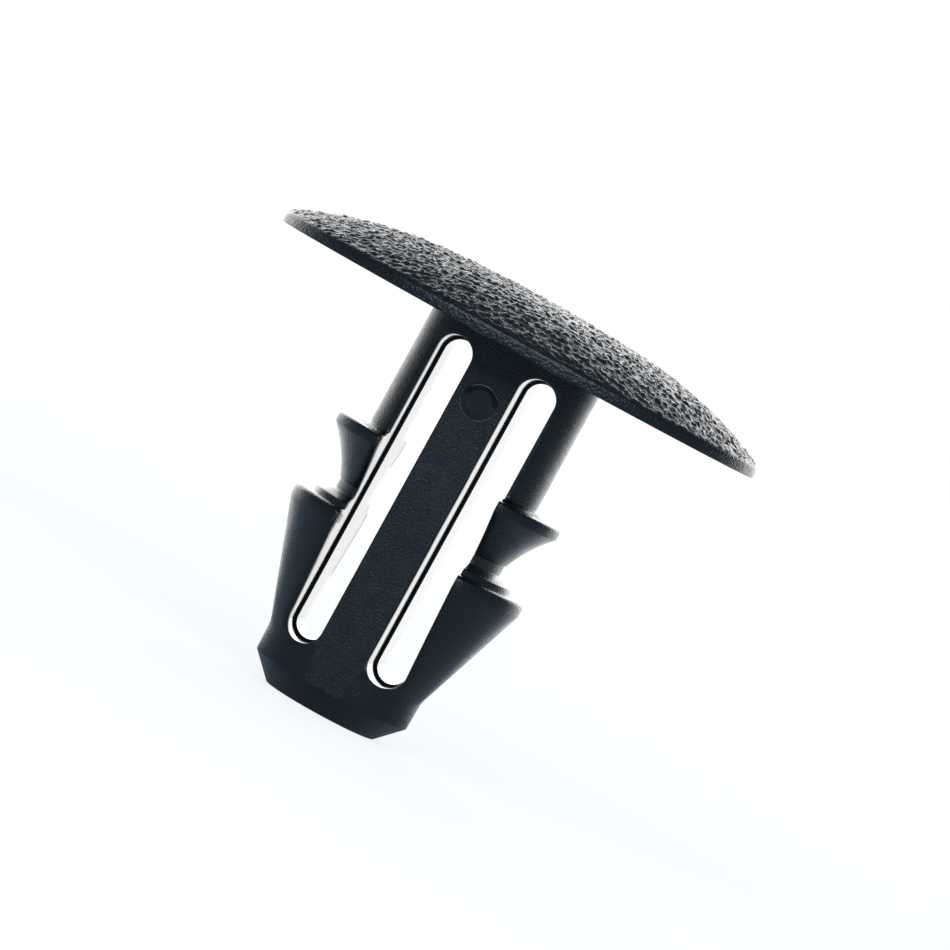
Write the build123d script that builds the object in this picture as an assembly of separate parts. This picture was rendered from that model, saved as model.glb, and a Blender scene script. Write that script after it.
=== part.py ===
from build123d import *
import os

# Plastic push rivet for trim panels: one injection-moulded piece, pushed by thumb into a round hole.
# Millimetres, +Z up. The origin is on the axis, in the plane where the head seats on the panel:
# the head is above z = 0 and the shank points down. The two long slots pass through along Y.

# Head: a shallow dome over an upright rim, dished underneath so that the rim seats first
head_radius = 12.5
rim_straight = 0.40  # upright part of the rim above the seat plane
dome_edge_radius = 12.25  # where the dome ends and the rounded rim begins
dome_edge_z = 0.81
crown_edge_radius = 5.5  # where the flatter crown turns into the shoulder
crown_edge_z = 2.56
crown_z = 2.78
seat_land = 1.1  # width of the flat ring that meets the panel
dish_z = 0.90  # rise of the underside from the land to the shank
root_flare = 0.30  # where the shank grows out of the dish

# Shank, neck and tip, all round about the axis
shank_radius = 4.41
neck_radius = 4.36
tip_radius_top = 4.03
tip_radius = 3.98
end_radius = 2.85  # flat end face
end_z = -19.25
chamfer_z = -18.10  # where the tip starts to narrow to its end face

# Upper barb: holds behind a thin panel
upper_top_z = -6.42
upper_radius = 5.87
upper_bevel = 0.14  # on the barb's top edge
upper_land = 0.54  # height of the upright edge
upper_foot_z = -9.16
upper_foot_radius = 4.42
upper_hollow = 0.13  # how far the cone is dished inwards between its two ends
upper_collar_rise = 0.17  # low collar at the barb's root
upper_collar_radius = 4.74
upper_collar_foot = 5.06

# Lower barb: larger, with the long lead-in cone that folds the legs inwards
lower_top_z = -10.30
lower_radius = 6.04
lower_lip = 0.16  # rounding of the barb's top edge
lower_land = 0.68
lower_foot_z = -16.66
lower_collar_rise = 0.29
lower_collar_radius = 5.14
lower_collar_foot = 5.24
lower_collar_slope = 0.31  # rise of the collar from its edge to the neck

# Slots: they part the shank into a centre web and two springy legs
web_half_width = 1.27
leg_inner_x = 3.07
slot_top_z = -0.67
slot_bottom_z = -16.70
parting_y = -0.9  # where the two cores of each slot meet
core_step = 0.15  # the core that forms the back half is this much smaller all round
slot_draft = 0.3  # degrees, from the parting plane outwards

# Centre web: flat in front and behind, with no barbs
web_face_y = 3.87
ejector_mark_radius = 0.85
ejector_mark_z = -2.92
ejector_mark_depth = 0.05


def head_section():
    """Half section of the head: crown, shoulder, rim and land, then back under the dish."""
    axis_top = (0, crown_z)
    rim_top = (head_radius, rim_straight)
    land_outer = (head_radius, 0)
    land_inner = (head_radius - seat_land, 0)
    root_outer = (shank_radius + root_flare, dish_z)
    root_lower = (shank_radius, dish_z - root_flare)
    with BuildSketch(Plane.XZ) as section:
        with BuildLine():
            crown = TangentArc(axis_top, (crown_edge_radius, crown_edge_z), tangent=(1, 0))
            TangentArc(crown @ 1, (dome_edge_radius, dome_edge_z), tangent=crown % 1)
            TangentArc(rim_top, (dome_edge_radius, dome_edge_z), tangent=(0, 1))
            Polyline(
                rim_top,
                land_outer,
                land_inner,
                root_outer,
                root_lower,
                (0, dish_z - root_flare),
                axis_top,
            )
        make_face()
    return section.sketch


def shank_section():
    """Half section of the shank with its two barbs and its tip."""
    lower_lip_in = lower_radius - lower_lip
    lower_collar_z = lower_top_z + lower_collar_rise
    inside_head_z = (dish_z + crown_z) / 2
    with BuildSketch(Plane.XZ) as section:
        with BuildLine():
            Polyline(
                (0, inside_head_z),
                (shank_radius, inside_head_z),
                (shank_radius, upper_top_z + upper_collar_rise),
                (upper_collar_radius, upper_top_z + upper_collar_rise),
                (upper_collar_foot, upper_top_z),
                (upper_radius - upper_bevel, upper_top_z),
                (upper_radius, upper_top_z - upper_bevel),
                (upper_radius, upper_top_z - upper_land),
            )
            SagittaArc(
                (upper_radius, upper_top_z - upper_land),
                (upper_foot_radius, upper_foot_z),
                -upper_hollow,
            )
            Polyline(
                (upper_foot_radius, upper_foot_z),
                (neck_radius, upper_foot_z),
                (neck_radius, lower_collar_z + lower_collar_slope),
                (lower_collar_radius, lower_collar_z),
                (lower_collar_foot, lower_top_z),
                (lower_lip_in, lower_top_z),
            )
            RadiusArc((lower_lip_in, lower_top_z), (lower_radius, lower_top_z - lower_lip), lower_lip)
            Polyline(
                (lower_radius, lower_top_z - lower_lip),
                (lower_radius, lower_top_z - lower_land),
                (tip_radius_top, lower_foot_z),
                (tip_radius, chamfer_z),
                (end_radius, end_z),
                (0, end_z),
                (0, inside_head_z),
            )
        make_face()
    return section.sketch


def web_flats():
    """What is cut away in front of and behind the web, as far as the middle of each slot."""
    middle_of_slot = (web_half_width + leg_inner_x) / 2
    depth = lower_radius - web_face_y + 1
    height = crown_z - end_z
    block = Pos(0, web_face_y + depth / 2, end_z + height / 2) * Box(2 * middle_of_slot, depth, height)
    return block + mirror(block, about=Plane.XZ)


def slot_half(side, back):
    """One core of a slot: a long round-ended hole from the parting plane out through one face."""
    inset = core_step if back else 0
    direction = 1 if back else -1
    width = leg_inner_x - web_half_width - 2 * inset
    length = slot_top_z - slot_bottom_z - 2 * inset
    centre_x = side * (web_half_width + leg_inner_x) / 2
    centre_z = (slot_top_z + slot_bottom_z) / 2
    plane = Plane((centre_x, parting_y, centre_z), x_dir=(0, 0, 1), z_dir=(0, direction, 0))
    outline = plane * SlotOverall(length, width)
    return extrude(outline, amount=lower_radius + 2, taper=-slot_draft)


def push_rivet():
    """The whole moulding as one solid."""
    head = revolve(head_section(), Axis.Z)
    shank = revolve(shank_section(), Axis.Z) - web_flats()
    body = head + shank
    for side in (-1, 1):
        for back in (False, True):
            body -= slot_half(side, back)
    mark_plane = Plane((0, -web_face_y, ejector_mark_z), z_dir=(0, -1, 0))
    body -= extrude(mark_plane * Circle(ejector_mark_radius), amount=-ejector_mark_depth)
    return body


os.makedirs("parts", exist_ok=True)
rivet = push_rivet()
rivet.label = "push_rivet"
export_step(rivet, "parts/push_rivet.step")
size = rivet.bounding_box().size
print(f"push_rivet: {size.X:.2f} x {size.Y:.2f} x {size.Z:.2f} mm, {rivet.volume:.1f} mm3,"
      f" {len(rivet.solids())} solid, valid {rivet.is_valid}")
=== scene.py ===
# %% [markdown]
# # A plastic push rivet
# A push rivet holds a trim panel: its shank is pressed through a round hole with the thumb, the two
# barbed legs fold inwards and spring out again behind the panel, and the low domed head hides the
# hole. The real one is a single shot of black nylon, so this lesson builds a single closed mesh. It
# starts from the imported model, which fixes every size and place, and Blender works in metres.

# %% The frame
import bmesh
import bpy
from math import acos, atan2, ceil, cos, hypot, pi, radians, sin, sqrt, tan
from mathutils import Matrix, Vector


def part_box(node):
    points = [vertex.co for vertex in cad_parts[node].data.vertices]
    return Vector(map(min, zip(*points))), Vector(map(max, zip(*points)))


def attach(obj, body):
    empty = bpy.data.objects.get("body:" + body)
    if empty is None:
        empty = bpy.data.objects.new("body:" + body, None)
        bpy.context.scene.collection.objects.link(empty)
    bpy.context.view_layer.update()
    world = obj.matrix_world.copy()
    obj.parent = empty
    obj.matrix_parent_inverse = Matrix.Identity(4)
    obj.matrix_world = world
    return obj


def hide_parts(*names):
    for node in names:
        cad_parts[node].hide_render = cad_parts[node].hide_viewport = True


MM = 0.001
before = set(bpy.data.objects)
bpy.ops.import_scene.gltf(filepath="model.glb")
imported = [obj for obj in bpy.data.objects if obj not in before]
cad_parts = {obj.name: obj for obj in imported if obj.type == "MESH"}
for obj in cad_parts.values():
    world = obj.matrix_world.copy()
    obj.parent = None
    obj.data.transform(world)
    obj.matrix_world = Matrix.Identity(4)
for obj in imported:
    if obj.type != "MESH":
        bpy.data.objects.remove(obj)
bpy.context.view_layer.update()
rivet_low, rivet_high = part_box("push_rivet")
print("rivet", [round(v / MM, 2) for v in rivet_low], "to", [round(v / MM, 2) for v in rivet_high], "mm")

# %% [markdown]
# ## Sizes
# All sizes are millimetres on the real rivet. Two of them come from the frame, so that the mesh and
# the model can't drift apart: the head's radius and the height of the end face. The other sizes are
# those of a rivet for a 9 mm hole. Small roundings matter more than they seem to: on black plastic
# an edge is seen by the light that runs along it, and an edge with no radius catches none.

# %% Sizes of the rivet
head_radius = (rivet_high[0] - rivet_low[0]) / 2 / MM
end_z = rivet_low[2] / MM
crown_z = rivet_high[2] / MM
rim_straight = 0.40
dome_edge = (12.25, 0.81)
crown_edge = (5.5, 2.56)
seat_land = 1.1
dish_z = 0.90
root_flare = 0.30

shank_radius = 4.41
neck_radius = 4.36
web_face_y = 3.87
slot_centre_x = 2.17
slot_half_front = 0.90
slot_half_back = 0.78
slot_draft = tan(radians(0.3))
slot_top_centre_z = -1.57
slot_bottom_centre_z = -15.80
parting_y = -0.6
leg_rounding = 0.29
web_rounding = 0.10
mark_radius = 0.85
mark_z = -2.92
mark_depth = 0.05

# The shank's half section from the head down, in two lists, with the upper barb's cone between them.
# Each corner has its radius, its height and its rounding.
upper_land_foot = (5.87, -6.96)
upper_foot = (4.42, -9.16)
upper_hollow = 0.13
above_the_cone = [
    (shank_radius, 0.60, 0),
    (shank_radius, -6.25, 0.06),
    (4.74, -6.27, 0.05),
    (5.06, -6.42, 0.05),
    (5.87, -6.45, 0.15),
    (*upper_land_foot, 0.12),
]
below_the_cone = [
    (*upper_foot, 0.05),
    (neck_radius, -9.19, 0.05),
    (neck_radius, -9.70, 0.08),
    (5.14, -10.01, 0.06),
    (5.24, -10.30, 0.05),
    (6.04, -10.33, 0.24),
    (6.04, -10.98, 0.12),
    (4.03, -16.66, 1.20),
    (3.98, -18.10, 0.10),
    (2.85, end_z, 0.08),
    (0, end_z, 0),
]

# %% [markdown]
# ## Outlines with rounded corners
# A turned form starts as a half section. It is quickest to write down its sharp corners, each with
# the radius that the mould's edge has there, and to let a function put an arc in every corner. The
# head's dome is two arcs that run on into each other, so a second function draws an arc from its
# start, its direction there and its end, which is how a draughtsman would give it.

# %% Rounded outlines and arcs
def rounded(corners, longest, arc_steps=4):
    """Points along a polyline of (r, z, rounding), with an arc in each corner and no long gaps."""
    outline = [Vector(corners[0][:2])]
    for before, corner, after in zip(corners, corners[1:], corners[2:]):
        here = Vector(corner[:2])
        back = (Vector(before[:2]) - here).normalized()
        ahead = (Vector(after[:2]) - here).normalized()
        half_angle = back.angle(ahead) / 2
        if corner[2] == 0:
            outline.append(here)
            continue
        reach = corner[2] / tan(half_angle)
        middle = here + (back + ahead).normalized() * corner[2] / sin(half_angle)
        start = here + back * reach - middle
        turn = start.angle_signed(here + ahead * reach - middle)
        for step in range(arc_steps + 1):
            outline.append(middle + Matrix.Rotation(-turn * step / arc_steps, 2) @ start)
    outline.append(Vector(corners[-1][:2]))
    return subdivided(outline, longest)


def subdivided(outline, longest):
    """The same points with more between any two that are further apart than longest."""
    result = [outline[0]]
    for start, end in zip(outline, outline[1:]):
        parts = max(1, ceil((end - start).length / longest - 1e-6))
        result += [start.lerp(end, part / parts) for part in range(1, parts + 1)]
    return result


def arc_towards(start, direction, end, steps):
    """Points of the arc that leaves start along direction and arrives at end."""
    start = Vector(start)
    chord = Vector(end) - start
    direction = Vector(direction).normalized()
    bend = direction.angle_signed(chord)
    radius = chord.length / (2 * sin(bend)) if abs(bend) > 1e-6 else 0
    points = []
    for step in range(steps + 1):
        part = step / steps
        reach = 2 * radius * sin(bend * part) if radius else chord.length * part
        points.append(start + (Matrix.Rotation(-bend * part, 2) @ direction) * reach)
    return points, Matrix.Rotation(-2 * bend, 2) @ direction


def dished(start, end, hollow, steps):
    """Points between the ends of a cone's side that sags towards the axis by hollow in its middle."""
    start = Vector(start)
    end = Vector(end)
    inwards = Vector((end.y - start.y, start.x - end.x)).normalized()
    parts = [step / steps for step in range(1, steps)]
    return [start.lerp(end, part) + inwards * hollow * 4 * part * (1 - part) for part in parts]


cone_steps = 8
outline_gap = 0.55
cone = [(*point, 0) for point in dished(upper_land_foot, upper_foot, upper_hollow, cone_steps)]
shank_outline = rounded(above_the_cone + cone + below_the_cone, outline_gap)
while shank_outline[-2].y <= end_z + 1e-6:
    shank_outline.pop()


def radius_at(z):
    """Radius of the round shank at a height. The outline runs steadily down, so there is only one."""
    for upper, lower in zip(shank_outline, shank_outline[1:]):
        if lower.y <= z <= upper.y:
            return upper.x + (lower.x - upper.x) * (upper.y - z) / (upper.y - lower.y)
    return shank_outline[0].x if z > 0 else shank_outline[-1].x


falls = [upper.y - lower.y for upper, lower in zip(shank_outline, shank_outline[1:])]
print("shank outline:", len(shank_outline), "points, smallest fall", round(min(falls), 4), "mm")

# %% [markdown]
# ## The rows of the shank
# The shank could be cut from a turned body with booleans, but a boolean leaves slivers along the
# slots, and the roundings there would tear. Instead the shank is woven from rows that already know
# about the slots. A row is a level line round the shank. Above and below the slots it is unbroken.
# Along the slots it parts into four strips: two legs, and the web's front and back. In the round
# ends of a slot the rows crowd together so that they part exactly along a half circle. Three numbers
# say all this for a point that lies an offset away from the slot's middle line: a level, how far the
# offset moves the point up, and how far it moves it sideways.

# %% Rows: (level, rise, spread)
root_rows = 8
arc_rows = 12
tip_rows = 4
wall_front = slot_half_front + slot_draft * (web_face_y + parting_y)
wall_back = slot_half_back + slot_draft * (web_face_y - parting_y)
patch_half = 1.04
patch_steps = 16
root_z = 0.58
below_slot_z = -17.15
plain_levels = [-4.4, -4.9, -5.4, -5.9]  # between the ejector mark and the upper barb
barbs_from_z = -6.1
row_clearance = 0.1

rows = []
for step in range(root_rows + 1):
    part = step / root_rows
    rows.append((root_z + (slot_top_centre_z - root_z) * part, part, 0))
slot_first = len(rows) - 1
for step in range(1, arc_rows):
    angle = radians(90) * step / arc_rows
    rows.append((slot_top_centre_z, cos(angle), sin(angle)))
levels = [slot_top_centre_z, (slot_top_centre_z + mark_z + patch_half) / 2]
patch_first = len(rows) + len(levels)
levels += [mark_z + patch_half * (1 - 2 * step / patch_steps) for step in range(patch_steps + 1)]
levels += plain_levels
levels += [p.y for p in shank_outline if slot_bottom_centre_z + row_clearance < p.y < barbs_from_z]
levels += [slot_bottom_centre_z]
rows += [(level, 0, 1) for level in levels]
for step in range(arc_rows - 1, 0, -1):
    angle = radians(90) * step / arc_rows
    rows.append((slot_bottom_centre_z, -cos(angle), sin(angle)))
slot_last = len(rows)
for step in range(tip_rows + 1):
    part = step / tip_rows
    rows.append((slot_bottom_centre_z + (below_slot_z - slot_bottom_centre_z) * part, part - 1, 0))
rows += [(p.y, 0, 0) for p in shank_outline if p.y < below_slot_z - row_clearance]
print(len(rows), "rows, the slots open between rows", slot_first, "and", slot_last)

# %% [markdown]
# ## Weaving the strips
# Every strip is a grid of points. The legs are round, so their points are spread by angle, from the
# slot's mouth at the front to its mouth at the back. The web is round too where it meets the head
# and at the tip, but it is flat in front and behind, so its columns keep to the edge of that flat.
# The grids are made one by one with the same sums, so their edges fall on each other, and one merge
# at the end joins them into a closed skin.

# %% Grids and strips
leg_columns = 44
web_inner_columns = patch_steps
web_outer_columns = 4
flat_edge_width = 0.05
flat_edge_most = 0.94  # how far out the edge of the flat may lie, as a share of the web's half width
flat_edge_least = 0.35
tip_strip_share = slot_centre_x / radius_at(below_slot_z)

points = []
faces = []


def add_grid(grid, skip=()):
    """Adds a grid of points, given as rows of equal length, and its four-sided faces."""
    first = len(points)
    width = len(grid[0])
    for line in grid:
        points.extend(line)
    for row in range(len(grid) - 1):
        for column in range(width - 1):
            if (row, column) not in skip:
                corner = first + row * width + column
                faces.append((corner, corner + 1, corner + width + 1, corner + width))


def mouth_of(row, side, wall):
    """A slot's half width at its mouth, from that of its wall: a leg's edge is rounder than the web's."""
    rounding = leg_rounding if side > 0 else web_rounding
    return wall + web_rounding + (rounding - web_rounding) * row[2] ** 2


def strip_edge(row, side, wall):
    """Where a leg (side 1) or the web (side -1) begins on a row: its x and its height."""
    level, rise, spread = row
    mouth = mouth_of(row, side, wall)
    z = level + mouth * rise
    middle_x = slot_centre_x
    if z < slot_bottom_centre_z:
        middle_x = min(slot_centre_x, tip_strip_share * radius_at(z))
    return middle_x + side * mouth * spread, z


def leg_strip(side):
    """The grid of one leg: side 1 is the leg at +X."""
    grid = []
    for row in rows:
        x_front, z_front = strip_edge(row, 1, wall_front)
        x_back, z_back = strip_edge(row, 1, wall_back)
        angle_front = -acos(x_front / radius_at(z_front))
        angle_back = acos(x_back / radius_at(z_back))
        line = []
        for column in range(leg_columns + 1):
            part = column / leg_columns
            z = z_front + (z_back - z_front) * part
            angle = angle_front + (angle_back - angle_front) * part
            line.append((side * radius_at(z) * cos(angle), radius_at(z) * sin(angle), z))
        grid.append(line)
    return grid


def web_columns(x_end, z):
    """The x of each column of the web on a row, kept to the edge of the flat."""
    round_x = radius_at(z) ** 2 - web_face_y ** 2
    edge = min(sqrt(max(round_x, 0)), flat_edge_most * x_end)
    edge = max(edge, flat_edge_least * x_end)
    width = min(flat_edge_width, (x_end - edge) / 2)
    steps = range(web_outer_columns)
    outer = [x_end + (edge + width - x_end) * step / web_outer_columns for step in steps]
    half = outer + [edge + width, edge, edge - width]
    steps = range(1, web_inner_columns)
    inner = [(edge - width) * (1 - 2 * step / web_inner_columns) for step in steps]
    return half + inner + [-x for x in reversed(half)]


def surface_y(x, z, on_web):
    """Distance of the shank's skin from the middle plane y = 0."""
    depth = sqrt(radius_at(z) ** 2 - x * x)
    return min(depth, web_face_y) if on_web else depth


def web_strip(side):
    """The grid of the web's front (side -1) or back (side 1)."""
    wall = wall_front if side < 0 else wall_back
    grid = []
    for row in rows:
        x_end, z = strip_edge(row, -1, wall)
        grid.append([(x, side * surface_y(x, z, True), z) for x in web_columns(x_end, z)])
    return grid


front_web = web_strip(-1)
add_grid(leg_strip(1))
add_grid(leg_strip(-1))
add_grid(web_strip(1))
mark_first = web_outer_columns + 2
mark_cells = {
    (patch_first + row, mark_first + column)
    for row in range(patch_steps)
    for column in range(patch_steps)
}
add_grid(front_web, skip=mark_cells)
print("strips:", len(points), "points,", len(faces), "faces")

# %% [markdown]
# ## The ejector mark
# A pin pushes the moulding out of its mould and leaves a shallow round mark on the web's front. The
# pin's edge presses a groove that is a little deeper than the mark itself. A round mark in a square
# grid is woven by leaving a square of cells open and filling it with rings that turn from the square
# into circles.

# %% The ejector mark
def ring_of_square():
    """The open square's points in order, each with its angle on the circle."""
    last = patch_steps
    cells = [(0, column) for column in range(last)]
    cells += [(row, last) for row in range(last)]
    cells += [(last, column) for column in range(last, 0, -1)]
    cells += [(row, 0) for row in range(last, 0, -1)]
    ring = [front_web[patch_first + row][mark_first + column] for row, column in cells]
    first_x, _, first_z = ring[0]
    start = atan2(first_z - mark_z, first_x)
    turn = -1 if ring[1][0] > first_x else 1
    angles = [start + turn * 2 * pi * step / len(ring) for step in range(len(ring))]
    return ring, angles


# From outside to the middle: radius in millimetres, and depth as a share of the mark's depth
mark_profile = [
    (0.93, 0),
    (0.875, 0),
    (mark_radius, 0.2),
    (0.835, 1.15),
    (0.80, 1),
    (0.55, 1),
    (0.28, 1),
    (0, 1),
]
square, mark_angles = ring_of_square()
mark_rings = [square]
for radius, depth in mark_profile:
    y = -web_face_y + depth * mark_depth
    mark_rings.append([(radius * cos(a), y, mark_z + radius * sin(a)) for a in mark_angles])
add_grid([ring + ring[:1] for ring in mark_rings])

# %% [markdown]
# ## The slot walls
# Each slot is formed by two cores that meet inside the shank, nearer to its front. The front core is
# a little larger, which leaves a fine step along the parting plane, and both have a little draft
# so that they draw out. A wall is a closed ring of points for each depth: the ring at the mouth is
# the edge of the strips, then come the rounding, the drafted wall and the step.

# %% Slot walls
wall_steps = 4
step_rounding = 0.03
mouth_parts = (0, 1 / 3, 2 / 3, 1)  # places along the rounding of the mouth


def slot_outline():
    """Rows round a slot, down the leg and up the web: (row, side)."""
    inner = rows[slot_first + 1:slot_last]
    leg = [(row, 1) for row in inner]
    web = [(row, -1) for row in reversed(inner)]
    return [(rows[slot_first], 1)] + leg + [(rows[slot_last], 1)] + web


def outline_point(row, side, offset):
    """x and height of an outline point at an offset from the slot's middle line."""
    level, rise, spread = row
    return slot_centre_x + side * offset * spread, level + offset * rise


def mouth_rings(half_width, wall, parting_depth):
    """Rings from the mouth to the parting plane; a point is (x, depth from the middle plane, z)."""
    rings = [[] for _ in range(len(mouth_parts) + wall_steps)]
    for row, side in slot_outline():
        mouth = mouth_of(row, side, wall)
        x, z = outline_point(row, side, mouth)
        rim = Vector((x, surface_y(x, z, side < 0), z))
        x, z = outline_point(row, side, wall)
        corner = Vector((x, surface_y(x, z, side < 0), z))
        edge = corner - Vector((0, mouth - wall, 0))
        column = [rim.lerp(corner, t).lerp(corner.lerp(edge, t), t) for t in mouth_parts]
        for step in range(1, wall_steps + 1):
            part = step / wall_steps
            x, z = outline_point(row, side, wall + (half_width - wall) * part)
            column.append(Vector((x, edge.y + (parting_depth + step_rounding - edge.y) * part, z)))
        for ring, point in zip(rings, column):
            ring.append(point)
    return rings


def parting_ring(offset):
    """A ring in the parting plane itself."""
    ring = []
    for row, side in slot_outline():
        x, z = outline_point(row, side, offset)
        ring.append(Vector((x, parting_y, z)))
    return ring


def add_slot(side):
    """The walls of one slot, right through: side 1 is the slot at +X."""
    front = mouth_rings(slot_half_front, wall_front, -parting_y)
    back = mouth_rings(slot_half_back, wall_back, parting_y)
    grid = [[(side * p.x, -p.y, p.z) for p in ring] for ring in front]
    for offset in (slot_half_front - step_rounding, slot_half_back + step_rounding):
        grid.append([(side * p.x, p.y, p.z) for p in parting_ring(offset)])
    grid += [[(side * p.x, p.y, p.z) for p in ring] for ring in reversed(back)]
    add_grid([ring + ring[:1] for ring in grid])


add_slot(1)
add_slot(-1)
print("with slots:", len(points), "points,", len(faces), "faces")

# %% [markdown]
# ## The head
# The head is turned, but its underside starts at the shank's columns, which aren't evenly spaced,
# and its dome needs far finer columns to carry the grain. So the rings start at the shank's angles
# and ease into even ones under the dish. On the flat land at the rim, where no seam can show, each
# column becomes five. On the dome the columns are halved on the way to the pole, to keep the faces
# nearly square.

# %% Rings of the head
columns = 2 * (leg_columns + web_inner_columns + 2 * (web_outer_columns + 2))
fine = 5  # columns of the dome for each column of the dish
grain_spacing = 0.107  # between the dome's rings, a third of the grain's pitch
underside_gap = 0.8
rim_gap = 0.12
land_step = 0.25  # from the land's inner edge to its first ring
split_inset = 0.45  # from the rim to the ring where the columns split
ease_reach = 4  # distance over which the angles become even
rim_arc_steps = 5
no_halving_below = 0.2


def root_angles():
    """The angle of each column where the shank meets the head, once round from the front."""
    right = leg_strip(1)[0][:-1]
    left = leg_strip(-1)[0]
    back = web_strip(1)[0]
    loop = right + back[:-1] + left[::-1][:-1] + front_web[0][::-1][:-1]
    angles = [atan2(y, x) for x, y, z in loop]
    return [angle + 2 * pi if angle < angles[0] - 1e-9 else angle for angle in angles]


rooted = root_angles()
first_even = -pi * leg_columns / columns


def even_angles(count):
    """The angles of columns that are evenly spaced, once round."""
    return [first_even + 2 * pi * column / count for column in range(count)]


even = even_angles(columns)
fine_even = [first_even + 2 * pi * column / columns / fine for column in range(columns * fine)]


def turned(radius, z, angles):
    """A closed ring of points."""
    ring = [(radius * cos(angle), radius * sin(angle), z) for angle in angles]
    return ring + ring[:1]


def stitch(few, many):
    """Joins a ring to one with a whole number of times as many points."""
    times = (len(many) - 1) // (len(few) - 1)
    first = len(points)
    points.extend(few)
    points.extend(many)
    second = first + len(few)
    for edge in range(len(few) - 1):
        a = first + edge
        fan = [second + edge * times + step for step in range(times + 1)]
        half = times // 2
        for step in range(half):
            faces.append((a, fan[step], fan[step + 1]))
        faces.append((a, fan[half], fan[times - half], a + 1) if times % 2 else (a, fan[half], a + 1))
        for step in range(times - half, times):
            faces.append((a + 1, fan[step], fan[step + 1]))


underside_corners = [
    (shank_radius + 0.01, dish_z - root_flare, 0),
    (shank_radius + root_flare, dish_z, 0.18),
    (head_radius - seat_land, 0, 0.15),
    (head_radius, 0, 0.05),
    (head_radius, rim_straight, 0),
]
underside = rounded(underside_corners, underside_gap)
inner_land = head_radius - seat_land + land_step
split_radius = head_radius - split_inset
coarse_part = [p for p in underside if p.x < inner_land] + [Vector((inner_land, 0))]
root_ring = leg_strip(1)[0][:-1] + web_strip(1)[0][:-1]
root_ring += leg_strip(-1)[0][::-1][:-1] + front_web[0][::-1]
grid = [root_ring]
for p in coarse_part:
    ease = min(max((p.x - shank_radius - root_flare) / ease_reach, 0), 1)
    ease = ease * ease * (3 - 2 * ease)
    angles = [start + (end - start) * ease for start, end in zip(rooted, even)]
    grid.append(turned(p.x, p.y, angles))
add_grid(grid)
stitch(grid[-1], turned(split_radius, 0, fine_even))

rim_part = [Vector((split_radius, 0))]
rim_part += subdivided([p for p in underside if p.x > split_radius + 0.05], rim_gap)
rim_arc, _ = arc_towards((head_radius, rim_straight), (0, 1), dome_edge, rim_arc_steps)
crown_arc, slope = arc_towards((0, crown_z), (1, 0), crown_edge, ceil(crown_edge[0] / grain_spacing))
shoulder_run = hypot(dome_edge[0] - crown_edge[0], dome_edge[1] - crown_edge[1])
shoulder_arc, _ = arc_towards(crown_edge, slope, dome_edge, ceil(shoulder_run / grain_spacing))
dome = rim_arc[1:] + shoulder_arc[::-1][1:] + crown_arc[::-1][1:]

grid = [turned(p.x, p.y, fine_even) for p in rim_part]
count = len(fine_even)
halving_radius = head_radius / 2
for p in dome[:-1]:
    halved = no_halving_below < p.x < halving_radius and count % 2 == 0
    if halved:
        count //= 2
        halving_radius /= 2
    ring = turned(p.x, p.y, even_angles(count))
    if halved:
        add_grid(grid)
        stitch(ring, grid[-1])
        grid = [ring]
    else:
        grid.append(ring)
grid.append([(0, 0, crown_z)] * (count + 1))
add_grid(grid)
print("with the head:", len(points), "points,", len(faces), "faces")

# %% [markdown]
# ## The end face
# The tip ends in a small flat face. Its rings go inwards with fewer and fewer columns, so that no
# long needles meet in the middle.

# %% The end face
end_outer_radius = 2.5
end_inner_radius = 1.9
last_row = len(rows) - 1
end_ring = leg_strip(1)[last_row][:-1] + web_strip(1)[last_row][:-1]
end_ring += leg_strip(-1)[last_row][::-1][:-1] + front_web[last_row][::-1]
end_angles = [atan2(y, x) for x, y, z in end_ring[:-1]]
end_angles = [angle + 2 * pi if angle < end_angles[0] - 1e-9 else angle for angle in end_angles]
half_eased = [(start + end) / 2 for start, end in zip(end_angles, even)]
outer_ring = turned(end_outer_radius, end_z, half_eased)
add_grid([end_ring, outer_ring])
ring = outer_ring
radius = end_inner_radius
count = columns
while count % 2 == 0:
    count //= 2
    smaller = turned(radius, end_z, even_angles(count))
    stitch(smaller, ring)
    ring = smaller
    radius /= 2
add_grid([ring, [(0, 0, end_z)] * len(ring)])

# %% [markdown]
# ## One closed skin
# The grids share their edges point for point, so a merge of a thousandth of a millimetre closes the
# skin. A closed skin has exactly two faces at every edge, and this is worth testing in the script:
# a gap or a doubled face shows up here as a number, long before it shows as a dark line in a render.

# %% The mesh
def skin(name):
    """The merged mesh in metres, with its faces pointing outwards."""
    mesh = bpy.data.meshes.new(name)
    mesh.from_pydata([(x * MM, y * MM, z * MM) for x, y, z in points], [], faces)
    work = bmesh.new()
    work.from_mesh(mesh)
    bmesh.ops.remove_doubles(work, verts=work.verts, dist=0.001 * MM)
    bmesh.ops.recalc_face_normals(work, faces=work.faces)
    open_edges = sum(1 for edge in work.edges if len(edge.link_faces) != 2)
    volume = work.calc_volume()
    if volume < 0:
        bmesh.ops.reverse_faces(work, faces=work.faces)
    for face in work.faces:
        face.smooth = True
    work.to_mesh(mesh)
    work.free()
    print(name, len(mesh.vertices), "points,", len(mesh.polygons), "faces,", open_edges, "open edges,",
          round(abs(volume) / MM ** 3, 1), "mm3")
    return mesh


rivet_mesh = skin("rivet_skin")

# %% [markdown]
# ## Where each finish is
# A mould isn't finished alike all over. Sparks ate the cavity of the head, so the rim and the dome are
# grained, and everything below is as smooth as a milled mould leaves it. The cores of the slots and
# the end of the ejector pin are ground steel, and what they touch is smoother still. This could be
# three materials on three sets of faces, but a number on each point can also fade. Grain says which
# finish a point has. Relief says how deep the grain goes: it fades in above the rim, which stays true
# to its size. Outside is 0 where a core or the pin touched and 1 everywhere else.

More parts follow.
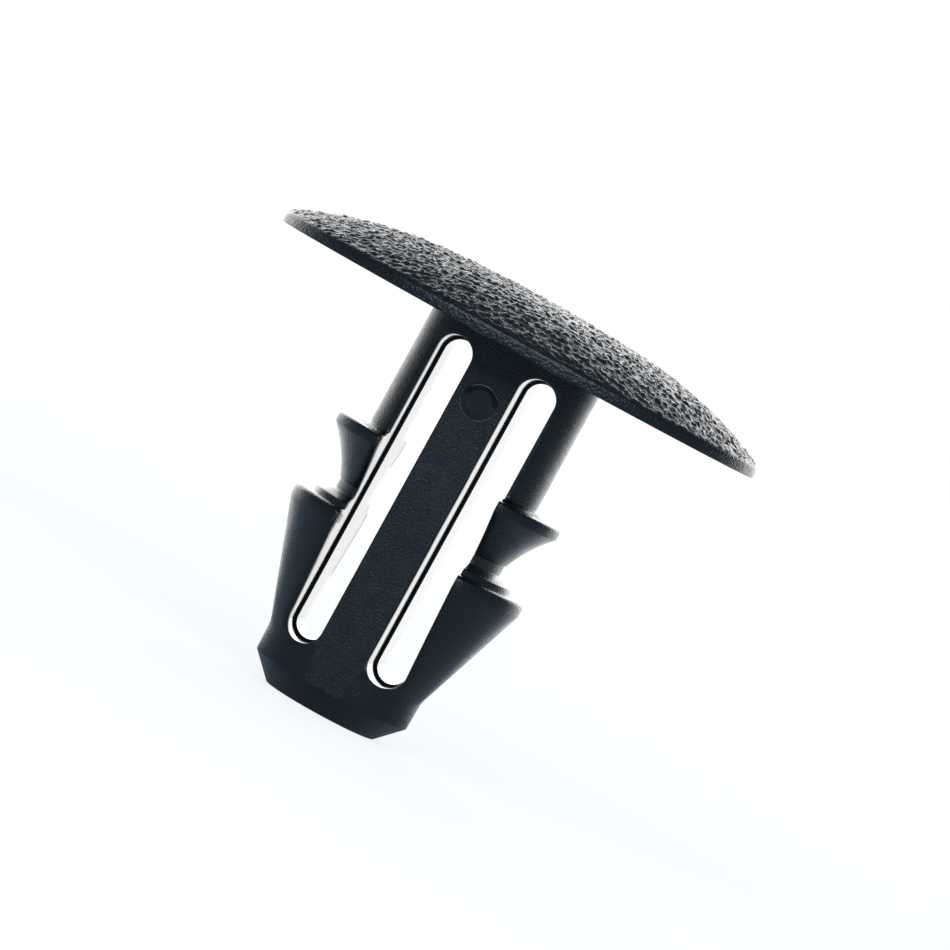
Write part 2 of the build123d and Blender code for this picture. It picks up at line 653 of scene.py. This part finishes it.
# %% Masks for the finishes
grain_from_z = 0.03
grain_full_z = 0.12
relief_from_z = 0.50
relief_full_z = 0.80
head_margin = 0.05
skin_margin = 0.04  # a point this far inside the shank's skin isn't on its outside
end_margin = 0.5


def share_between(value, low, high):
    """0 below low, 1 above high and a straight line between."""
    return min(max((value - low) / (high - low), 0.0), 1.0)


def grain_at(x, y, z):
    """How much grain and how much relief a point has: none below the head."""
    on_head = hypot(x, y) > head_radius - seat_land or z > dish_z + head_margin
    if not on_head:
        return 0.0, 0.0
    return share_between(z, grain_from_z, grain_full_z), share_between(z, relief_from_z, relief_full_z)


def outside_at(x, y, z):
    """0 on the slots' walls and on the ejector mark, 1 everywhere else."""
    within_round = hypot(x, y) < radius_at(z) - skin_margin
    within_flats = abs(y) < web_face_y - skin_margin
    below_head = end_z + end_margin < z < 0
    return 0.0 if within_round and within_flats and below_head else 1.0


grain = rivet_mesh.attributes.new("grain", "FLOAT", "POINT")
relief = rivet_mesh.attributes.new("relief", "FLOAT", "POINT")
outside = rivet_mesh.attributes.new("outside", "FLOAT", "POINT")
for vertex in rivet_mesh.vertices:
    x, y, z = (value / MM for value in vertex.co)
    outside.data[vertex.index].value = outside_at(x, y, z)
    grain.data[vertex.index].value, relief.data[vertex.index].value = grain_at(x, y, z)
touched = sum(1 for item in outside.data if item.value == 0)
print("points in the grain:", sum(1 for item in grain.data if item.value > 0.5),
      "and against cores or the pin:", touched)

# %% [markdown]
# ## Materials
# Nylon with carbon black in it is nearly black and a little glossy. Its index of refraction is 1.53,
# so it reflects about four parts in a hundred straight on and far more at a glance, and on a dark
# body that glance is most of what the eye sees. A flat colour with one roughness would look like
# paint. So both finishes have the same colour, a roughness that wanders a little where the melt froze
# sooner or later, and fine bumps. The grained one has higher and coarser bumps than the moulded one.

# %% Helpers for node trees
def linear(hex_colour):
    """sRGB hex to the linear colour that Blender wants."""
    values = [int(hex_colour[i:i + 2], 16) / 255 for i in (1, 3, 5)]
    return [v / 12.92 if v <= 0.04045 else ((v + 0.055) / 1.055) ** 2.4 for v in values] + [1.0]


def node(tree, kind, settings=None, **inputs):
    """Adds a node; an input is a value or the output socket of another node."""
    new = tree.nodes.new(kind)
    for name, value in (settings or {}).items():
        setattr(new, name, value)
    for name, value in inputs.items():
        socket = new.inputs[int(name[1:])] if name[1:].isdigit() else new.inputs[name.replace("_", " ")]
        if isinstance(value, bpy.types.NodeSocket):
            tree.links.new(value, socket)
        else:
            socket.default_value = value
    return new


# %% Two finishes of black nylon
# A milled mould leaves marks of a few hundredths of a millimetre, and the craters of spark erosion
# have finer ones inside them. Both are too fine to show, so they are drawn coarser, at 0.09 and
# 0.13 mm. Finer bumps than these would turn into frost.
nylon_colour = "#11181b"
nylon_ior = 1.53
wall_roughness = 0.08
mottle_size = 0.9
mottle_swing = 0.05
moulded_roughness = 0.27
moulded_bumps = [(0.09, 0.014, 0.0)]
eroded_roughness = 0.24
eroded_bumps = [(0.13, 0.040, 1.0)]


def moulded_nylon(name, roughness, bumps):
    """Black nylon; each bump is (size of a lump in mm, height in mm, finer detail in it)."""
    material = bpy.data.materials.new(name)
    material.use_nodes = True
    tree = material.node_tree
    tree.nodes.clear()
    place = node(tree, "ShaderNodeTexCoord").outputs["Object"]
    outside = node(tree, "ShaderNodeAttribute", {"attribute_name": "outside"})
    normal = None
    for size, height, detail in bumps:
        noise = node(tree, "ShaderNodeTexNoise", Vector=place, Scale=1 / (size * MM), Detail=detail)
        bump = node(tree, "ShaderNodeBump", Height=noise.outputs[0], Distance=height * MM,
                    Strength=outside.outputs["Fac"])
        if normal:
            tree.links.new(normal, bump.inputs["Normal"])
        normal = bump.outputs[0]
    mottle = node(tree, "ShaderNodeTexNoise", Vector=place, Scale=1 / (mottle_size * MM),
                  Detail=3.0)
    rough = node(tree, "ShaderNodeMapRange", Value=mottle.outputs[0], From_Min=0.3, From_Max=0.7,
                 To_Min=roughness - mottle_swing, To_Max=roughness + mottle_swing)
    polished = node(tree, "ShaderNodeMapRange", Value=outside.outputs["Fac"], To_Min=wall_roughness)
    tree.links.new(rough.outputs[0], polished.inputs["To Max"])
    shader = node(tree, "ShaderNodeBsdfPrincipled", Base_Color=linear(nylon_colour),
                  Roughness=polished.outputs[0], IOR=nylon_ior, Normal=normal)
    output = node(tree, "ShaderNodeOutputMaterial")
    tree.links.new(shader.outputs[0], output.inputs["Surface"])
    return material


smooth_nylon = moulded_nylon("moulded_black_nylon", moulded_roughness, moulded_bumps)
grained_nylon = moulded_nylon("spark_eroded_black_nylon", eroded_roughness, eroded_bumps)
print("finishes:", smooth_nylon.name, "and", grained_nylon.name)

# %% [markdown]
# ## Spark-eroded grain
# Sparks leave small round craters side by side, and the moulding shows them as low pimples with
# narrow valleys between. Bump alone would leave the outline of the head perfectly smooth, so the
# grain moves the dome's points. It follows the surface by one rule, which is what Geometry Nodes are
# good at. The tree takes the pitch and the depth in metres and a seed. Each point sinks by its
# distance from the middle of the nearest cell, so a pimple falls away straight from its middle, and
# never rises above the dome. Real eroded grain can be finer than this pitch of 0.32 mm, which is as
# coarse as it needs to be to show.

# %% Geometry nodes for the grain
grain_pitch = 0.32
grain_depth = 0.18
grain_seed = 4.0
sharp_angle = radians(40)


def grain_tree():
    """Sinks each point by cell noise times its relief, then sets the two materials by its grain."""
    tree = bpy.data.node_groups.new("spark_eroded_grain", "GeometryNodeTree")
    face = tree.interface
    face.new_socket("Geometry", in_out="INPUT", socket_type="NodeSocketGeometry")
    face.new_socket("Geometry", in_out="OUTPUT", socket_type="NodeSocketGeometry")
    for label, kind in (("Pitch", "Float"), ("Depth", "Float"), ("Seed", "Float"),
                        ("Smooth", "Material"), ("Grained", "Material")):
        face.new_socket(label, in_out="INPUT", socket_type="NodeSocket" + kind)
    given = tree.nodes.new("NodeGroupInput").outputs
    place = node(tree, "GeometryNodeInputPosition").outputs[0]
    scale = node(tree, "ShaderNodeMath", {"operation": "DIVIDE"}, _0=1.0, _1=given["Pitch"]).outputs[0]
    wander = node(tree, "ShaderNodeTexNoise", {"noise_dimensions": "4D"}, Vector=place, Scale=scale,
                  W=given["Seed"], Detail=1.0)
    centred = node(tree, "ShaderNodeVectorMath", {"operation": "SUBTRACT"},
                   _0=wander.outputs["Color"], _1=(0.5, 0.5, 0.5)).outputs[0]
    stray = node(tree, "ShaderNodeVectorMath", {"operation": "SCALE"}, _0=centred, Scale=given["Pitch"])
    moved = node(tree, "ShaderNodeVectorMath", {"operation": "ADD"}, _0=place, _1=stray.outputs[0])
    cells = node(tree, "ShaderNodeTexVoronoi", {"voronoi_dimensions": "4D", "feature": "F1"},
                 Vector=moved.outputs[0], Scale=scale, W=given["Seed"])
    grain_here = node(tree, "GeometryNodeInputNamedAttribute", {"data_type": "FLOAT"}, Name="grain")
    relief_here = node(tree, "GeometryNodeInputNamedAttribute", {"data_type": "FLOAT"}, Name="relief")
    fall = node(tree, "ShaderNodeMath", {"operation": "MULTIPLY"}, _0=cells.outputs["Distance"],
                _1=relief_here.outputs[0]).outputs[0]
    inwards = node(tree, "ShaderNodeMath", {"operation": "MULTIPLY"}, _0=given["Depth"], _1=-1.0).outputs[0]
    push = node(tree, "ShaderNodeMath", {"operation": "MULTIPLY"}, _0=fall, _1=inwards).outputs[0]
    normal = node(tree, "GeometryNodeInputNormal").outputs[0]
    offset = node(tree, "ShaderNodeVectorMath", {"operation": "SCALE"}, _0=normal, Scale=push)
    shaped = node(tree, "GeometryNodeSetPosition", Geometry=given["Geometry"], Offset=offset.outputs[0])
    real = node(tree, "GeometryNodeRealizeInstances", Geometry=shaped.outputs[0])
    smooth = node(tree, "GeometryNodeSetMaterial", Geometry=real.outputs[0], Material=given["Smooth"])
    is_grain = node(tree, "FunctionNodeCompare", {"operation": "GREATER_THAN"},
                    _0=grain_here.outputs[0], _1=0.5).outputs[0]
    grained = node(tree, "GeometryNodeSetMaterial", Geometry=smooth.outputs[0], Selection=is_grain,
                   Material=given["Grained"])
    output = tree.nodes.new("NodeGroupOutput")
    tree.links.new(grained.outputs[0], output.inputs[0])
    return tree


def socket_identifier(tree, label):
    """The identifier that a modifier knows an input by."""
    for item in tree.interface.items_tree:
        if item.name == label and item.in_out == "INPUT":
            return item.identifier
    raise ValueError(label)


# %% The grained piece
draft_piece = bpy.data.objects.new("draft_rivet", rivet_mesh)
bpy.context.scene.collection.objects.link(draft_piece)
tree = grain_tree()
modifier = draft_piece.modifiers.new("grain", "NODES")
modifier.node_group = tree
grain_values = {
    "Pitch": grain_pitch * MM,
    "Depth": grain_depth * MM,
    "Seed": grain_seed,
    "Smooth": smooth_nylon,
    "Grained": grained_nylon,
}
for label, value in grain_values.items():
    modifier[socket_identifier(tree, label)] = value
evaluated = draft_piece.evaluated_get(bpy.context.evaluated_depsgraph_get())
final_mesh = bpy.data.meshes.new_from_object(evaluated)
draft_piece.modifiers.clear()
bpy.data.objects.remove(draft_piece)
final_mesh.name = "push_rivet_moulding"
final_mesh.set_sharp_from_angle(angle=sharp_angle)

# %% [markdown]
# ## The finished piece
# A rounded edge with few faces shades wrongly when the light on the wide faces beside it is averaged
# in. Weighted normals let the large faces keep their own direction, and the roundings do the turning.
# The result is made a plain mesh. It rides on the root body, stands in for the imported solid, and its
# materials say that it is nylon.

# %% Shading and body
rivet = bpy.data.objects.new("push_rivet_moulding", final_mesh)
bpy.context.scene.collection.objects.link(rivet)
weighted = rivet.modifiers.new("weighted", "WEIGHTED_NORMAL")
weighted.keep_sharp = True
weighted.weight = 50
evaluated = rivet.evaluated_get(bpy.context.evaluated_depsgraph_get())
weighted_mesh = bpy.data.meshes.new_from_object(evaluated)
rivet.modifiers.clear()
rivet.data = weighted_mesh
triangles = sum(len(face.vertices) - 2 for face in weighted_mesh.polygons)
print("rivet:", triangles, "triangles,", [slot.name for slot in weighted_mesh.materials if slot])

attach(rivet, "root")
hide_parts("push_rivet")

# %% [markdown]
# ## Floor and light
# The rivet stands on its end face on a plain white floor. Black plastic shows what is around it
# rather than its own colour, so what is around it is the light: a bright low wall behind, and a dim
# cool room on the viewer's side. The wall is brighter than white, because a black body returns only
# a few parts in a hundred of it. How far a direction lies towards the back decides how much of the
# wall it sees, and one function works that out for the floor and for the world.

# %% Bright behind, dim in front
view_azimuth = radians(5.48)
back_axis = (-sin(view_azimuth), cos(view_azimuth), 0)
back_level = 1.55
wall_level = 5.0
front_level = 0.18
front_tint = "#d6eaff"
white = "#ffffff"


def back_share(tree, direction, none_at, full_at):
    """The share of the bright wall in a direction, by the cosine of its angle from the back."""
    level = node(tree, "ShaderNodeVectorMath", {"operation": "NORMALIZE"}, _0=direction).outputs[0]
    towards_back = node(tree, "ShaderNodeVectorMath", {"operation": "DOT_PRODUCT"}, _0=level, _1=back_axis)
    share = node(tree, "ShaderNodeMapRange", {"interpolation_type": "SMOOTHSTEP"},
                 Value=towards_back.outputs["Value"], From_Min=none_at, From_Max=full_at)
    return share.outputs[0]


# %% [markdown]
# ### The floor
# The floor has three parts to play. To the eye it is white: a glow gives most of it, less near the
# rivet, and real light on it gives the rest and keeps the shadow. In a mirror reflection it is bright
# towards the back, because there it carries on the wall. To all other light it is a cool grey card,
# so that it doesn't throw a glare up at the rivet. Light Path tells which ray is asking. The floor
# lies a hundredth of a millimetre under the end face, so that the two never fight for one plane.

# %% The floor
shadow_share = "#c0c0c0"
card_colour = "#98b4c4"
near_glow = 0.77
far_glow = 0.92
glow_near_at = 0.05
glow_far_at = 0.6
floor_mirrored = 0.06
floor_back_from = 0.47
floor_back_full = 0.95
floor_half = 2.0
floor_gap = 0.01


def white_floor():
    """White to the eye with a shadow, bright behind in reflections, and a cool grey card otherwise."""
    material = bpy.data.materials.new("white_card")
    material.use_nodes = True
    tree = material.node_tree
    tree.nodes.clear()
    ray = node(tree, "ShaderNodeLightPath")
    seen = node(tree, "ShaderNodeMath", {"operation": "MAXIMUM"}, _0=ray.outputs["Is Camera Ray"],
                _1=ray.outputs["Is Transmission Ray"]).outputs[0]
    place = node(tree, "ShaderNodeTexCoord").outputs["Object"]
    towards_back = back_share(tree, place, floor_back_from, floor_back_full)
    share = node(tree, "ShaderNodeMapRange", Value=towards_back, To_Min=floor_mirrored)
    mirrored = node(tree, "ShaderNodeMath", {"operation": "MULTIPLY"}, _0=ray.outputs["Is Glossy Ray"],
                    _1=share.outputs[0]).outputs[0]
    card = node(tree, "ShaderNodeBsdfDiffuse", Color=linear(card_colour))
    shaded = node(tree, "ShaderNodeBsdfDiffuse", Color=linear(shadow_share))
    distance = node(tree, "ShaderNodeVectorMath", {"operation": "LENGTH"}, _0=place)
    glow_here = node(tree, "ShaderNodeMapRange", Value=distance.outputs["Value"],
                     From_Min=glow_near_at, From_Max=glow_far_at, To_Min=near_glow, To_Max=far_glow)
    glow = node(tree, "ShaderNodeEmission", Color=linear(white), Strength=glow_here.outputs[0])
    to_the_eye = node(tree, "ShaderNodeAddShader", _0=shaded.outputs[0], _1=glow.outputs[0])
    lit = node(tree, "ShaderNodeEmission", Color=linear(white), Strength=back_level)
    far = node(tree, "ShaderNodeMixShader", _0=mirrored, _1=card.outputs[0], _2=lit.outputs[0])
    both = node(tree, "ShaderNodeMixShader", _0=seen, _1=far.outputs[0], _2=to_the_eye.outputs[0])
    output = node(tree, "ShaderNodeOutputMaterial")
    tree.links.new(both.outputs[0], output.inputs["Surface"])
    return material


floor_z = (end_z - floor_gap) * MM
floor_mesh = bpy.data.meshes.new("floor")
floor_signs = [(-1, -1), (1, -1), (1, 1), (-1, 1)]
floor_corners = [(x * floor_half, y * floor_half, floor_z) for x, y in floor_signs]
floor_mesh.from_pydata(floor_corners, [], [(0, 1, 2, 3)])
floor = bpy.data.objects.new("floor", floor_mesh)
bpy.context.scene.collection.objects.link(floor)
floor_mesh.materials.append(white_floor())
print("floor at", round(floor_z / MM, 2), "mm")

# %% [markdown]
# ### The world
# The wall behind is painted into the world, because a world has no edges to show in a gloss. It is
# strongest low down and gone near the zenith, so the dome is lit along its far side and dark on top.
# At the horizon it is weaker, or the rim would melt into the white behind it. Camera rays don't see
# any of this: they see plain white.

# %% The world
wall_from = 0.64
wall_full = 0.98
wall_fades_from = 0.08
wall_gone_at = 0.86
horizon_share = 0.45
horizon_clear_at = 0.45

world = bpy.data.worlds.new("studio")
bpy.context.scene.world = world
world.use_nodes = True
tree = world.node_tree
tree.nodes.clear()
direction = node(tree, "ShaderNodeTexCoord").outputs["Generated"]
height = node(tree, "ShaderNodeSeparateXYZ", Vector=direction).outputs["Z"]
low_share = node(tree, "ShaderNodeMapRange", {"interpolation_type": "SMOOTHSTEP"},
                 Value=height, From_Min=wall_fades_from, From_Max=wall_gone_at, To_Min=1.0, To_Max=0.0)
off_horizon = node(tree, "ShaderNodeMapRange", Value=height, From_Min=0.0,
                   From_Max=horizon_clear_at, To_Min=horizon_share)
band = node(tree, "ShaderNodeMath", {"operation": "MULTIPLY"}, _0=low_share.outputs[0],
            _1=off_horizon.outputs[0])
towards_back = back_share(tree, direction, wall_from, wall_full)
wall = node(tree, "ShaderNodeMath", {"operation": "MULTIPLY"}, _0=towards_back, _1=band.outputs[0])
dim_side = node(tree, "ShaderNodeBackground", Color=linear(front_tint), Strength=front_level)
back_wall = node(tree, "ShaderNodeBackground", Color=linear(white), Strength=wall_level)
studio = node(tree, "ShaderNodeMixShader", _0=wall.outputs[0], _1=dim_side.outputs[0],
              _2=back_wall.outputs[0])
ray = node(tree, "ShaderNodeLightPath")
seen = node(tree, "ShaderNodeMath", {"operation": "MAXIMUM"}, _0=ray.outputs["Is Camera Ray"],
            _1=ray.outputs["Is Transmission Ray"])
backdrop = node(tree, "ShaderNodeBackground", Color=linear(white), Strength=1.0)
both = node(tree, "ShaderNodeMixShader", _0=seen.outputs[0], _1=studio.outputs[0], _2=backdrop.outputs[0])
output = node(tree, "ShaderNodeOutputWorld")
tree.links.new(both.outputs[0], output.inputs["Surface"])

# %% [markdown]
# ### A cool fill
# A wide soft box above the viewer opens up the web's flat face and the front of the legs. It stands
# no lower than 24 degrees, because from lower down its sheen spreads over the flat web and greys it.

# %% A cool fill lamp
def soft_lamp(name, azimuth, elevation, width, height, distance, power, colour):
    """A soft box that faces the rivet; its azimuth is counted from the viewer's side, to the right."""
    data = bpy.data.lights.new(name, "AREA")
    data.shape = "RECTANGLE"
    data.size = width
    data.size_y = height
    data.energy = power
    data.color = linear(colour)[:3]
    lamp = bpy.data.objects.new(name, data)
    bpy.context.scene.collection.objects.link(lamp)
    turn = view_azimuth + azimuth
    towards = Vector((sin(turn) * cos(elevation), -cos(turn) * cos(elevation), sin(elevation)))
    lamp.location = towards * distance
    lamp.rotation_euler = towards.to_track_quat("Z", "Y").to_euler()
    return lamp


fill = soft_lamp(
    "cool_fill",
    azimuth=0,
    elevation=radians(24),
    width=1.6,
    height=0.40,
    distance=0.8,
    power=5.6,
    colour="#d8ecff",
)
print("fill lamp at", [round(v, 2) for v in fill.location], "m")

# %% [markdown]
# ## The camera
# The camera looks almost level, a little from the right, and is rolled so that the rivet leans in the
# frame. The lens follows from the scale in the frame: pixels for each millimetre at the rivet, times
# the distance, is the focal length in pixels.

# %% The camera
view_elevation = radians(1.94)
camera_roll = radians(28.78)
camera_distance = 0.300
pixels_per_mm = 21.385
picture_pixels = 950
sensor_mm = 36
aim_right_mm = 1.079
aim_up_mm = 1.894
aim_level_mm = -8.0

level_reach = cos(view_elevation)
ahead = Vector((
    -sin(view_azimuth) * level_reach,
    cos(view_azimuth) * level_reach,
    -sin(view_elevation),
))
right = ahead.cross(Vector((0, 0, 1))).normalized()
up = right.cross(ahead)
aim = Vector((0, 0, aim_level_mm * MM)) + right * aim_right_mm * MM + up * aim_up_mm * MM
rolled_right = right * cos(camera_roll) + up * sin(camera_roll)
rolled_up = up * cos(camera_roll) - right * sin(camera_roll)
camera_data = bpy.data.cameras.new("camera")
camera_data.sensor_width = sensor_mm
camera_data.lens = pixels_per_mm * camera_distance / MM / picture_pixels * sensor_mm
camera_data.clip_start = 0.01
camera = bpy.data.objects.new("camera", camera_data)
bpy.context.scene.collection.objects.link(camera)
turned_camera = Matrix((rolled_right, rolled_up, -ahead)).transposed().to_4x4()
camera.matrix_world = Matrix.Translation(aim - ahead * camera_distance) @ turned_camera
bpy.context.scene.camera = camera
bpy.context.scene.view_settings.view_transform = "Standard"
print("lens", round(camera_data.lens, 1), "mm")
